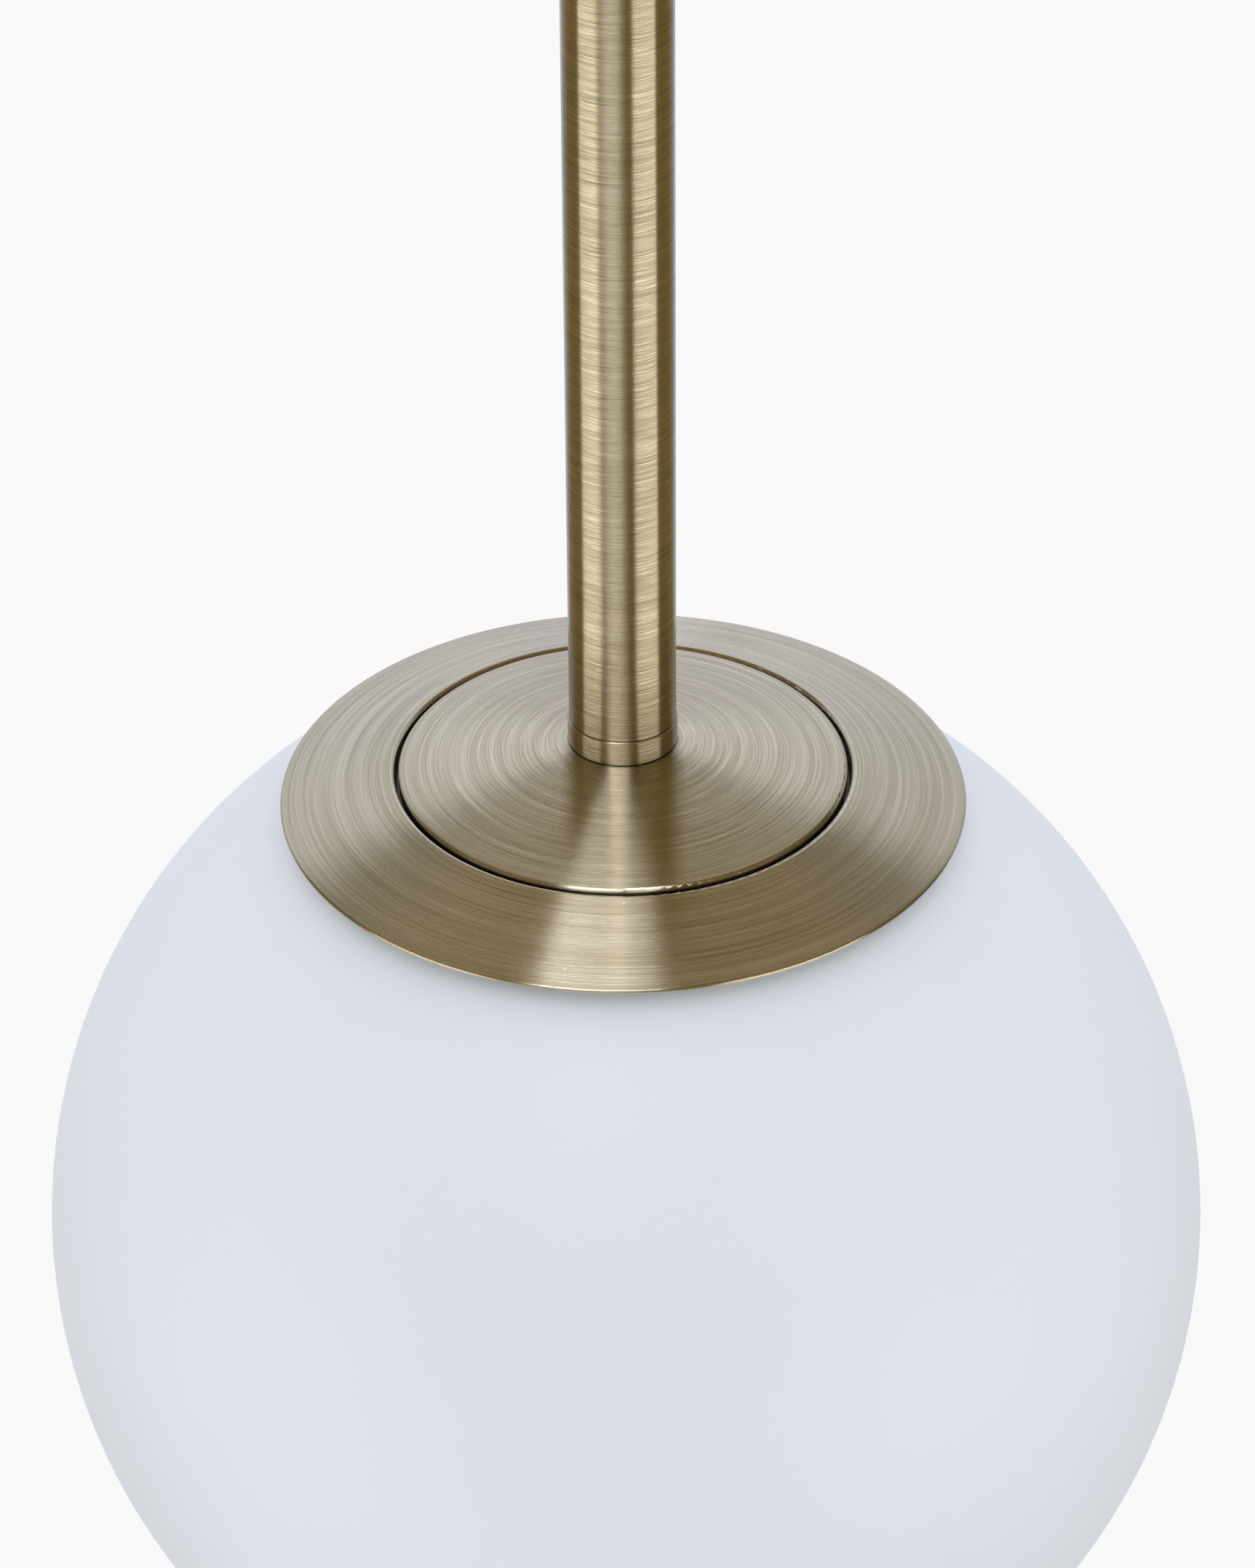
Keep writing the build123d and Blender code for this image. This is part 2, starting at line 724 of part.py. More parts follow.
# The gasket fills the wedge between the ring's cone and the glass.
with BuildPart() as glass_gasket:
    with BuildSketch(Plane.XZ):
        with BuildLine():
            Polyline(
                on_globe(gasket_inner, globe_radius),
                (gasket_inner, ring_under(gasket_inner) - gasket_gap),
                (gasket_outer, ring_under(gasket_outer) - gasket_gap),
                on_globe(gasket_outer, globe_radius),
            )
            RadiusArc(
                on_globe(gasket_outer, globe_radius),
                on_globe(gasket_inner, globe_radius),
                -globe_radius,
            )
        make_face()
    revolve(axis=Axis.Z)
glass_gasket.part.label = "glass_gasket"
export_step(glass_gasket.part, "parts/glass_gasket.step")

# The globe is blown opal glass with a cut and ground hole at its top.
with BuildPart() as glass_globe:
    with BuildSketch(Plane.XZ):
        with BuildLine():
            RadiusArc(
                on_globe(glass_hole_radius, globe_radius),
                (globe_radius, globe_centre),
                globe_radius,
            )
            RadiusArc((globe_radius, globe_centre), (0, globe_centre - globe_radius), globe_radius)
            Line((0, globe_centre - globe_radius), (0, globe_centre - glass_inside))
            RadiusArc((0, globe_centre - glass_inside), (glass_inside, globe_centre), -glass_inside)
            RadiusArc(
                (glass_inside, globe_centre),
                on_globe(glass_hole_radius, glass_inside),
                -glass_inside,
            )
            Line(
                on_globe(glass_hole_radius, glass_inside),
                on_globe(glass_hole_radius, globe_radius),
            )
        make_face()
    revolve(axis=Axis.Z)
    fillet(glass_globe.edges().group_by(Axis.Z)[-1], radius=glass_lip_round)
glass_globe.part.label = "glass_globe"
export_step(glass_globe.part, "parts/glass_globe.step")

# Three spring clips are spot-welded under the ring's flange. They hook through the hole and bear on pads.
clip_sphere = glass_inside - pad_thickness
clip_level = ring_flange - sheet
# The clip's lower side runs one sheet thickness inside its upper side.
clip_corner = (clip_shoulder, clip_level)
clip_foot = on_globe(clip_rise_radius, clip_sphere)
riser = (Vector(*clip_foot) - Vector(*clip_corner)).normalized()
riser_side = Vector(*clip_corner) + Vector(riser.Y, -riser.X) * clip_thickness
inner_corner = riser_side + riser * ((clip_level - clip_thickness - riser_side.Y) / riser.Y)
inner_sphere = clip_sphere - clip_thickness
from_centre = riser_side - Vector(0, globe_centre)
along = from_centre.dot(riser)
inner_foot = riser_side - riser * (
    along + sqrt(along**2 - from_centre.dot(from_centre) + inner_sphere**2)
)
tip = Vector(*on_globe(clip_tip_radius, clip_sphere))
inner_tip = tip + (Vector(0, globe_centre) - tip).normalized() * clip_thickness

with BuildPart() as clip_blank:
    with BuildSketch(Plane.XZ):
        with BuildLine():
            Polyline((clip_root_radius, clip_level), clip_corner, clip_foot)
            RadiusArc(clip_foot, tip, clip_sphere)
            Line(tip, inner_tip)
            RadiusArc(inner_tip, inner_foot, -inner_sphere)
            Polyline(
                inner_foot,
                inner_corner,
                (clip_root_radius, clip_level - clip_thickness),
                (clip_root_radius, clip_level),
            )
        make_face()
    extrude(amount=clip_width / 2, both=True)

with BuildPart() as glass_clips:
    with PolarLocations(0, clip_count):
        add(clip_blank.part)
glass_clips.part.label = "glass_clips"
export_step(glass_clips.part, "parts/glass_clips.step")

with BuildPart() as pad_blank:
    with BuildSketch(Plane.XZ):
        with BuildLine():
            Line(on_globe(pad_inner, clip_sphere), on_globe(pad_inner, glass_inside))
            RadiusArc(
                on_globe(pad_inner, glass_inside),
                on_globe(pad_outer, glass_inside),
                glass_inside,
            )
            Line(on_globe(pad_outer, glass_inside), on_globe(pad_outer, clip_sphere))
            RadiusArc(
                on_globe(pad_outer, clip_sphere),
                on_globe(pad_inner, clip_sphere),
                -clip_sphere,
            )
        make_face()
    extrude(amount=pad_width / 2, both=True)
    with Locations((0, 0, globe_centre)):
        Sphere(glass_inside, mode=Mode.INTERSECT)

with BuildPart() as clip_pads:
    with PolarLocations(0, clip_count):
        add(pad_blank.part)
clip_pads.part.label = "clip_pads"
export_step(clip_pads.part, "parts/clip_pads.step")

# ---------------------------------------------------------------- lampholder

with BuildPart() as holder_cap:
    with BuildSketch(Plane.XZ):
        with BuildLine():
            FilletPolyline(
                (nipple_hole, holder_top),
                (holder_radius, holder_top),
                (holder_radius, holder_joint),
                radius=holder_shoulder,
            )
            offset(amount=holder_wall, side=Side.RIGHT)
        make_face()
    revolve(axis=Axis.Z)
holder_cap.part.label = "holder_cap"
export_step(holder_cap.part, "parts/holder_cap.step")

# The holder's body is a moulded sleeve with a lip at its mouth.
with BuildPart() as holder_body:
    with BuildSketch(Plane.XY.offset(holder_mouth)):
        Circle(holder_radius)
        Circle(holder_mouth_radius, mode=Mode.SUBTRACT)
    extrude(amount=holder_lip)
    with BuildSketch(Plane.XY.offset(holder_mouth)):
        Circle(holder_radius)
        Circle(holder_radius - holder_wall, mode=Mode.SUBTRACT)
    extrude(amount=holder_body_height)
    fillet(holder_body.edges().group_by(Axis.Z)[0].sort_by(SortBy.RADIUS)[-1], radius=2 * soft_edge)
holder_body.part.label = "holder_body"
export_step(holder_body.part, "parts/holder_body.step")

# The insulator is pressed into the body and carries the terminals, the shell and the centre contact.
terminal_x = (-holder_terminal_offset, holder_terminal_offset)
holder_screw_level = insulator_top + leaf_thickness + holder_terminal_size * 3 / 4
with BuildPart() as holder_insulator:
    with BuildSketch(Plane.XY.offset(insulator_under)):
        Circle(holder_radius - holder_wall)
        Circle(plunger_stem_radius + turn_gap, mode=Mode.SUBTRACT)
        with Locations((terminal_x[1], 0)):
            Circle(stem_radius, mode=Mode.SUBTRACT)
    extrude(amount=insulator_thickness)
holder_insulator.part.label = "holder_insulator"
export_step(holder_insulator.part, "parts/holder_insulator.step")

# A clamp block for each pole; the neutral one has a stem that reaches the screw shell.
with BuildPart() as holder_terminals:
    for x, seat_height in zip(terminal_x, (leaf_thickness, 0)):
        with BuildSketch(Plane.XY.offset(insulator_top + seat_height)):
            with Locations((x, 0)):
                Rectangle(holder_terminal_size, holder_terminal_size)
        extrude(amount=holder_terminal_size)
    with BuildSketch(Plane.XY.offset(insulator_under)):
        with Locations((terminal_x[1], 0)):
            Circle(stem_radius)
    extrude(amount=insulator_thickness)
    with BuildSketch(Plane.XY.offset(insulator_top + holder_terminal_size / 2)):
        with Locations((terminal_x[0], 0), (terminal_x[1], 0)):
            Circle(holder_terminal_bore)
    extrude(amount=holder_terminal_size, mode=Mode.SUBTRACT)
    with BuildSketch(Plane.XZ):
        with Locations((terminal_x[0], holder_screw_level), (terminal_x[1], holder_screw_level)):
            Circle(holder_screw_radius)
    extrude(amount=holder_terminal_size, mode=Mode.SUBTRACT)
holder_terminals.part.label = "holder_terminals"
export_step(holder_terminals.part, "parts/holder_terminals.step")

with BuildPart() as holder_screws:
    with BuildSketch(Plane.XZ.offset(holder_terminal_bore)):
        with Locations((terminal_x[0], holder_screw_level), (terminal_x[1], holder_screw_level)):
            Circle(holder_screw_radius)
    extrude(amount=holder_terminal_size / 2 - holder_terminal_bore)
    with BuildSketch(Plane.XZ.offset(holder_terminal_size / 2)):
        with Locations((terminal_x[0], holder_screw_level), (terminal_x[1], holder_screw_level)):
            Circle(holder_screw_head)
    extrude(amount=holder_screw_reach)
    with BuildSketch(Plane.XZ.offset(holder_terminal_size / 2 + holder_screw_reach)):
        with Locations((terminal_x[0], holder_screw_level), (terminal_x[1], holder_screw_level)):
            Rectangle(2 * soft_edge, 2 * holder_screw_head)
    extrude(amount=-2 * soft_edge, mode=Mode.SUBTRACT)
holder_screws.part.label = "holder_screws"
export_step(holder_screws.part, "parts/holder_screws.step")

# The live terminal stands on a leaf that presses on the centre contact.
leaf_tip = plunger_stem_radius + soft_edge
with BuildPart() as contact_leaf:
    with BuildSketch(Plane.XY.offset(insulator_top)):
        with Locations((-holder_terminal_offset - holder_terminal_size / 2, 0)):
            Rectangle(
                holder_terminal_offset + holder_terminal_size / 2 + leaf_tip,
                leaf_width,
                align=(Align.MIN, Align.CENTER),
            )
    extrude(amount=leaf_thickness)
contact_leaf.part.label = "contact_leaf"
export_step(contact_leaf.part, "parts/contact_leaf.step")

with BuildPart() as screw_shell:
    with BuildSketch(Plane.XY.offset(insulator_under - shell_height)):
        Circle(shell_radius + shell_wall)
        Circle(shell_radius, mode=Mode.SUBTRACT)
    extrude(amount=shell_height)
    with BuildSketch(Plane.XY.offset(insulator_under - shell_wall)):
        Circle(shell_radius + shell_wall)
        Circle(shell_flange_bore, mode=Mode.SUBTRACT)
    extrude(amount=shell_wall)
screw_shell.part.label = "screw_shell"
export_step(screw_shell.part, "parts/screw_shell.step")

# The centre contact is a loose brass button. It turns with the lamp that bears on it.
with BuildPart() as centre_contact:
    with BuildSketch(Plane.XY.offset(insulator_under - plunger_head_height)):
        Circle(plunger_head_radius)
    extrude(amount=plunger_head_height - turn_gap)
    with BuildSketch(Plane.XY.offset(insulator_under - turn_gap)):
        Circle(plunger_stem_radius)
    extrude(amount=insulator_thickness)
centre_contact.part.label = "centre_contact"
export_step(centre_contact.part, "parts/centre_contact.step")

# The earth tag is clamped under the cap's roof, with its barrel hanging down beside the nut.
holder_barrel_y = -(nut_across_flats / sqrt(3) + tag_barrel_gap + tag_barrel_radius)
with BuildPart() as holder_earth_tag:
    with BuildSketch(Plane.XY.offset(tag_top - tag_thickness)):
        Circle(nut_across_flats / 2)
        Rectangle(tag_tongue, -holder_barrel_y, align=(Align.CENTER, Align.MAX))
        with Locations((0, holder_barrel_y)):
            Circle(tag_barrel_radius)
        Circle(nipple_hole, mode=Mode.SUBTRACT)
    extrude(amount=tag_thickness)
    with BuildSketch(Plane.XY.offset(tag_top - tag_thickness)):
        with Locations((0, holder_barrel_y)):
            Circle(tag_barrel_radius)
            Circle(tag_barrel_bore, mode=Mode.SUBTRACT)
    extrude(amount=-tag_barrel_length)
holder_earth_tag.part.label = "holder_earth_tag"
export_step(holder_earth_tag.part, "parts/holder_earth_tag.step")

# Three cores leave the flex: live and neutral go down into the clamps, earth turns back up to the tag.
core_turn = flex_end - core_bend - core_radius
core_drop = flex_end - small_bend - 2 * soft_edge
live_core = core(
    [
        (live_x, core_y, flex_end),
        (live_x, core_y, core_drop),
        (terminal_x[0], 0, core_drop),
        (terminal_x[0], 0, insulator_top + leaf_thickness + holder_terminal_size / 2),
    ],
    small_bend,
)
live_core.label = "live_core"
export_step(live_core, "parts/live_core.step")

neutral_core = core(
    [
        (-live_x, core_y, flex_end),
        (-live_x, core_y, core_drop),
        (terminal_x[1], 0, core_drop),
        (terminal_x[1], 0, insulator_top + holder_terminal_size / 2),
    ],
    small_bend,
)
neutral_core.label = "neutral_core"
export_step(neutral_core, "parts/neutral_core.step")

earth_core = core(
    [
        (0, earth_core_y, flex_end),
        (0, earth_core_y, core_turn),
        (0, holder_barrel_y, core_turn),
        (0, holder_barrel_y, holder_nut_top),
    ],
    core_bend,
)
earth_core.label = "earth_core"
export_step(earth_core, "parts/earth_core.step")

# ---------------------------------------------------------------- lamp

lamp_insulator_level = lamp_top - lamp_tip_height - lamp_insulator_height
lamp_cap_foot = lamp_insulator_level - lamp_cap_height
lamp_ball_centre = lamp_bottom + lamp_ball_radius
lamp_joint = lamp_ball_centre + lamp_ball_radius * sin(radians(lamp_joint_angle))
lamp_housing_height = lamp_cap_foot - lamp_joint
lamp_joint_radius = lamp_ball_radius * cos(radians(lamp_joint_angle))
lamp_ball_inside = lamp_ball_radius - lamp_wall
lamp_joint_inside = sqrt(lamp_ball_inside**2 - (lamp_joint - lamp_ball_centre) ** 2)

with BuildPart() as lamp_tip:
    with BuildSketch(Plane.XY.offset(lamp_top - lamp_tip_height)):
        Circle(lamp_tip_radius)
    extrude(amount=lamp_tip_height)
    fillet(lamp_tip.edges().group_by(Axis.Z)[-1], radius=2 * soft_edge)
lamp_tip.part.label = "lamp_tip"
export_step(lamp_tip.part, "parts/lamp_tip.step")

with BuildPart() as lamp_insulator:
    with BuildSketch(Plane.XZ):
        Polygon(
            (0, lamp_insulator_level),
            (lamp_insulator_base, lamp_insulator_level),
            (lamp_insulator_top, lamp_top - lamp_tip_height),
            (0, lamp_top - lamp_tip_height),
            align=None,
        )
    revolve(axis=Axis.Z)
lamp_insulator.part.label = "lamp_insulator"
export_step(lamp_insulator.part, "parts/lamp_insulator.step")

with BuildPart() as lamp_cap:
    with BuildSketch(Plane.XY.offset(lamp_cap_foot)):
        Circle(lamp_cap_radius)
        Circle(lamp_cap_radius - lamp_cap_wall, mode=Mode.SUBTRACT)
    extrude(amount=lamp_cap_height)
    with BuildSketch(Plane.XY.offset(lamp_insulator_level - lamp_cap_wall)):
        Circle(lamp_cap_radius)
        Circle(lamp_cap_radius - 2 * board_seat, mode=Mode.SUBTRACT)
    extrude(amount=lamp_cap_wall)
lamp_cap.part.label = "lamp_cap"
export_step(lamp_cap.part, "parts/lamp_cap.step")

# The housing flares from the cap to the diffuser, with a ledge inside for the board.
with BuildPart() as lamp_housing:
    with BuildSketch(Plane.XZ):
        with BuildLine():
            Polyline(
                (lamp_joint_inside, lamp_joint),
                (lamp_joint_radius, lamp_joint),
            )
            Bezier(
                (lamp_joint_radius, lamp_joint),
                (lamp_housing_top, lamp_joint + lamp_housing_height * 2 / 3),
                (lamp_housing_top, lamp_cap_foot),
            )
            Polyline(
                (lamp_housing_top, lamp_cap_foot),
                (lamp_housing_top - 2 * lamp_wall, lamp_cap_foot),
            )
            Bezier(
                (lamp_housing_top - 2 * lamp_wall, lamp_cap_foot),
                (lamp_housing_top - 2 * lamp_wall, lamp_joint + lamp_housing_height * 2 / 3),
                (lamp_joint_inside - lamp_wall, lamp_joint + board_seat + board_thickness),
            )
            Polyline(
                (lamp_joint_inside - lamp_wall, lamp_joint + board_seat + board_thickness),
                (lamp_joint_inside - lamp_wall, lamp_joint + board_seat),
                (lamp_joint_inside, lamp_joint + board_seat),
                (lamp_joint_inside, lamp_joint),
            )
        make_face()
    revolve(axis=Axis.Z)
lamp_housing.part.label = "lamp_housing"
export_step(lamp_housing.part, "parts/lamp_housing.step")

with BuildPart() as lamp_board:
    with BuildSketch(Plane.XY.offset(lamp_joint + board_seat - board_thickness)):
        Circle(lamp_joint_inside)
    extrude(amount=board_thickness)
lamp_board.part.label = "lamp_board"
export_step(lamp_board.part, "parts/lamp_board.step")

with BuildPart() as lamp_diffuser:
    with Locations((0, 0, lamp_ball_centre)):
        Sphere(lamp_ball_radius)
        Sphere(lamp_ball_inside, mode=Mode.SUBTRACT)
    split(bisect_by=Plane.XY.offset(lamp_joint), keep=Keep.BOTTOM)
lamp_diffuser.part.label = "lamp_diffuser"
export_step(lamp_diffuser.part, "parts/lamp_diffuser.step")
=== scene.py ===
import math

import bmesh
import bpy
from mathutils import Matrix, Vector


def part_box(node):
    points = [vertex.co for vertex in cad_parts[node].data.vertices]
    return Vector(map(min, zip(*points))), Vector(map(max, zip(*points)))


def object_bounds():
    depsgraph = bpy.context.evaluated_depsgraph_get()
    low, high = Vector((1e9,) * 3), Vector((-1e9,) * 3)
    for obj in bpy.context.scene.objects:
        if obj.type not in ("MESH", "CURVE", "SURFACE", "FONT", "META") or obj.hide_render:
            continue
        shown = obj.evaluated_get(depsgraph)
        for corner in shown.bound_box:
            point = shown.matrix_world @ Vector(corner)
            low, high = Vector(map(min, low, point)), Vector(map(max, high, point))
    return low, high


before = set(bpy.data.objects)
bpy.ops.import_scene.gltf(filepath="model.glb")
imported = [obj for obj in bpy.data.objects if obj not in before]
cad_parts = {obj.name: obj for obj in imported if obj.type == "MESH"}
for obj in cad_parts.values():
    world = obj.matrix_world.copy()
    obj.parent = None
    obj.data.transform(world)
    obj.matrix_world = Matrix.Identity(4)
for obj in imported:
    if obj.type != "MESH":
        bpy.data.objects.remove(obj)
solids_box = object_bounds()


# ---------------------------------------------------------------- bracket
# The ceiling bracket is a pressed steel strap, zinc plated, screwed to the ceiling through its two slots.
# Its turned-down ears take the canopy's screws, and the earth screw clamps a ring tag on it.

def node(tree, kind, inputs=None, **settings):
    """One shader node: settings are its properties, inputs are values or sockets to link."""
    made = tree.nodes.new("ShaderNode" + kind)
    for key, value in settings.items():
        setattr(made, key, value)
    for key, value in (inputs or {}).items():
        if isinstance(value, bpy.types.NodeSocket):
            tree.links.new(value, made.inputs[key])
        else:
            made.inputs[key].default_value = value
    return made


def new_finish(name, **sockets):
    """A new material with its node tree, its shader and the place on the piece, in metres.
    sockets are the Principled shader's own settings, by name with _ for each space."""
    material = bpy.data.materials.new(name + "_finish")
    material.use_nodes = True
    tree = material.node_tree
    shader = tree.nodes["Principled BSDF"]
    for key, value in sockets.items():
        shader.inputs[key.replace("_", " ")].default_value = value
    return material, tree, shader, node(tree, "TexCoord").outputs["Object"]


def connect(tree, shader, **sockets):
    """Links sockets to the shader's inputs, named as in new_finish."""
    for key, socket in sockets.items():
        tree.links.new(socket, shader.inputs[key.replace("_", " ")])


def dress(names, material):
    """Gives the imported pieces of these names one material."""
    for name in names:
        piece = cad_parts[name]
        for slot in piece.material_slots:
            slot.material = material


def cloudy(tree, place, grains_per_metre, detail):
    """A soft random pattern, from about 0.3 to 0.7."""
    inputs = {"Vector": place, "Scale": grains_per_metre, "Detail": detail}
    return node(tree, "TexNoise", inputs).outputs["Fac"]


def mix_colour(tree, factor, first, second):
    """first where factor is 0 and second where it is 1. Each is three numbers or a socket."""
    first, second = ((*end, 1) if isinstance(end, tuple) else end for end in (first, second))
    inputs = {"Factor": factor, "A": first, "B": second}
    return node(tree, "Mix", inputs, data_type="RGBA").outputs["Result"]


def ramp_value(tree, factor, start, end, low=0.0, high=1.0):
    """A number between start and end as factor goes from low to high."""
    inputs = {"Value": factor, "From Min": low, "From Max": high, "To Min": start, "To Max": end}
    return node(tree, "MapRange", inputs).outputs["Result"]


def ramp(tree, factor, dark, light, low=0.0, high=1.0):
    """A colour between dark and light as factor goes from low to high."""
    return mix_colour(tree, ramp_value(tree, factor, 0.0, 1.0, low, high), dark, light)


def relief(tree, height, depth, strength):
    """The normal of a surface with a fine relief of this depth in metres."""
    inputs = {"Height": height, "Distance": depth, "Strength": strength}
    return node(tree, "Bump", inputs).outputs["Normal"]


zinc_steel, tree, shader, place = new_finish("zinc_steel", Metallic=1.0)
spangle = node(tree, "TexVoronoi", {"Vector": place, "Scale": 900.0}).outputs["Color"]
grey_zinc = ramp(tree, spangle, (0.60, 0.62, 0.65), (0.70, 0.71, 0.73))
passivation = cloudy(tree, place, grains_per_metre=160.0, detail=6.0)
yellowing = ramp_value(tree, passivation, start=0.0, end=0.35, low=0.5, high=0.75)
grain = cloudy(tree, place, grains_per_metre=2500.0, detail=2.0)
connect(
    tree,
    shader,
    Base_Color=mix_colour(tree, yellowing, grey_zinc, (0.55, 0.50, 0.34)),
    Roughness=ramp_value(tree, passivation, start=0.26, end=0.38, low=0.35, high=0.65),
    Normal=relief(tree, grain, depth=0.00002, strength=0.5),
)
dress(["ceiling_bracket", "earth_screw", "bracket_earth_tag"], zinc_steel)


# ---------------------------------------------------------------- terminal block
# A two-way terminal block moulded in white nylon, with drawn brass tubes inside.
# One long screw holds it under the bracket, and its clamping screws are worked from below.

white_nylon, tree, shader, place = new_finish("white_nylon", Subsurface_Weight=0.08, Subsurface_Scale=0.002)
haze = cloudy(tree, place, grains_per_metre=300.0, detail=5.0)
pores = cloudy(tree, place, grains_per_metre=3500.0, detail=2.0)
connect(
    tree,
    shader,
    Base_Color=ramp(tree, haze, (0.72, 0.71, 0.66), (0.80, 0.79, 0.75), low=0.35, high=0.65),
    Roughness=ramp_value(tree, haze, start=0.38, end=0.52),
    Normal=relief(tree, pores, depth=0.00002, strength=0.4),
)
dress(["terminal_housing"], white_nylon)

plain_brass, tree, shader, place = new_finish("plain_brass", Metallic=1.0)
tarnish = cloudy(tree, place, grains_per_metre=220.0, detail=6.0)
# Fine lines lie across Z: the pattern is 5000 grains a metre along it and 300 a metre across it.
stretched = node(tree, "Mapping", {"Vector": place, "Scale": (300.0, 300.0, 5000.0)}).outputs["Vector"]
lines = cloudy(tree, stretched, grains_per_metre=1.0, detail=2.0)
connect(
    tree,
    shader,
    Base_Color=ramp(tree, tarnish, (0.56, 0.40, 0.18), (0.78, 0.62, 0.33), low=0.3, high=0.62),
    Roughness=ramp_value(tree, tarnish, start=0.42, end=0.24, low=0.3, high=0.65),
    Normal=relief(tree, lines, depth=0.00001, strength=0.5),
)
dress(["terminal_tubes"], plain_brass)
dress(["terminal_fixing_screw", "terminal_screws"], zinc_steel)


# ---------------------------------------------------------------- tails
# Three short tails with soft plastic insulation go from the terminal block and the earth tag to the flex.
# Live is brown, neutral is blue, and earth is green with yellow stripes along it.

def new_group(name, takes, gives):
    """A shader node group with named inputs and outputs. takes and gives are (name, socket type) pairs."""
    tree = bpy.data.node_groups.new(name, "ShaderNodeTree")
    for in_out, sockets in (("INPUT", takes), ("OUTPUT", gives)):
        for socket_name, kind in sockets:
            tree.interface.new_socket(name=socket_name, in_out=in_out, socket_type="NodeSocket" + kind)
    return tree, tree.nodes.new("NodeGroupInput").outputs, tree.nodes.new("NodeGroupOutput").inputs


mottle, takes, gives = new_group(
    "mottle",
    [
        ("Position", "Vector"),
        ("Grains Per Metre", "Float"),
        ("Detail", "Float"),
        ("Dark", "Color"),
        ("Light", "Color"),
        ("Smoothest", "Float"),
        ("Roughest", "Float"),
    ],
    [("Colour", "Color"), ("Roughness", "Float"), ("Height", "Float")],
)
grains = cloudy(mottle, takes["Position"], takes["Grains Per Metre"], takes["Detail"])
mottle.links.new(ramp(mottle, grains, takes["Dark"], takes["Light"], low=0.3, high=0.7), gives["Colour"])
mottle.links.new(ramp_value(mottle, grains, takes["Smoothest"], takes["Roughest"]), gives["Roughness"])
mottle.links.new(grains, gives["Height"])


def mottled(name, *, grains_per_metre, detail, dark, light, smoothest, roughest, bumps=None, **sockets):
    """A finish that is cloudy between two colours, and rougher where it is lighter.
    bumps is the depth in metres and the strength of its relief. sockets are as in new_finish."""
    material, tree, shader, place = new_finish(name, **sockets)
    inputs = {
        "Position": place,
        "Grains Per Metre": grains_per_metre,
        "Detail": detail,
        "Dark": (*dark, 1),
        "Light": (*light, 1),
        "Smoothest": smoothest,
        "Roughest": roughest,
    }
    marks = node(tree, "Group", inputs, node_tree=mottle).outputs
    connect(tree, shader, Base_Color=marks["Colour"], Roughness=marks["Roughness"])
    if bumps:
        connect(tree, shader, Normal=relief(tree, marks["Height"], *bumps))
    return material


def insulation(name, dark, light):
    """Soft extruded plastic, slightly glossy."""
    return mottled(
        name,
        grains_per_metre=500.0,
        detail=4.0,
        dark=dark,
        light=light,
        smoothest=0.34,
        roughest=0.5,
        bumps=(0.00003, 0.5),
        Specular_IOR_Level=0.45,
    )


core_brown = insulation("core_brown", (0.10, 0.035, 0.015), (0.15, 0.055, 0.025))
core_blue = insulation("core_blue", (0.015, 0.08, 0.30), (0.025, 0.12, 0.42))
core_green_yellow = insulation("core_green_yellow", (0.02, 0.19, 0.04), (0.03, 0.26, 0.06))

# The stripes lie on the two sides of the core, where its surface faces along X.
stripe_yellow = (0.72, 0.56, 0.03)
stripe_edge = (0.58, 0.62)
tree = core_green_yellow.node_tree
shader = tree.nodes["Principled BSDF"]
green = shader.inputs["Base Color"].links[0].from_socket
facing = node(tree, "SeparateXYZ", {"Vector": node(tree, "TexCoord").outputs["Normal"]}).outputs["X"]
side = node(tree, "Math", {0: facing}, operation="ABSOLUTE").outputs["Value"]
on_stripe = ramp_value(tree, side, 0.0, 1.0, *stripe_edge)
connect(tree, shader, Base_Color=mix_colour(tree, on_stripe, green, stripe_yellow))

dress(["live_tail"], core_brown)
dress(["neutral_tail"], core_blue)
dress(["earth_tail"], core_green_yellow)


# ---------------------------------------------------------------- canopy
# The canopy is a spun brass cup that hides the bracket. It is brushed while it turns, darkened to an
# antique colour and lacquered, as every outside metal piece is. Two knurled screws hold it on the ears.

def product(tree, factors):
    """All factors multiplied together."""
    total = factors[0]
    for factor in factors[1:]:
        total = node(tree, "Math", {0: total, 1: factor}, operation="MULTIPLY").outputs["Value"]
    return total


def weighted_sum(tree, value, weight, rest):
    """value times weight, plus rest."""
    inputs = {0: value, 1: weight, 2: rest}
    return node(tree, "Math", inputs, operation="MULTIPLY_ADD").outputs["Value"]


def scaled(tree, vector, factor):
    """A vector or a colour times a number."""
    return node(tree, "VectorMath", {0: vector, "Scale": factor}, operation="SCALE").outputs["Vector"]


spun_marks, takes, gives = new_group(
    "spun_marks",
    [("Position", "Vector"), ("Across Face", "Float"), ("Lines Per Metre", "Float")],
    [("Fine", "Float"), ("Streaks", "Float"), ("Tone", "Float")],
)
split = node(spun_marks, "SeparateXYZ", {"Vector": takes["Position"]}).outputs
outward = node(spun_marks, "CombineXYZ", {"X": split["X"], "Y": split["Y"], "Z": 0.0}).outputs["Vector"]
radius = node(spun_marks, "VectorMath", {0: outward}, operation="LENGTH").outputs["Value"]
around = node(spun_marks, "VectorMath", {0: outward}, operation="NORMALIZE").outputs["Vector"]
along_or_out = {"Factor": takes["Across Face"], "A": split["Z"], "B": radius}
across = node(spun_marks, "Mix", along_or_out).outputs["Result"]
lines_at = product(spun_marks, [across, takes["Lines Per Metre"]])
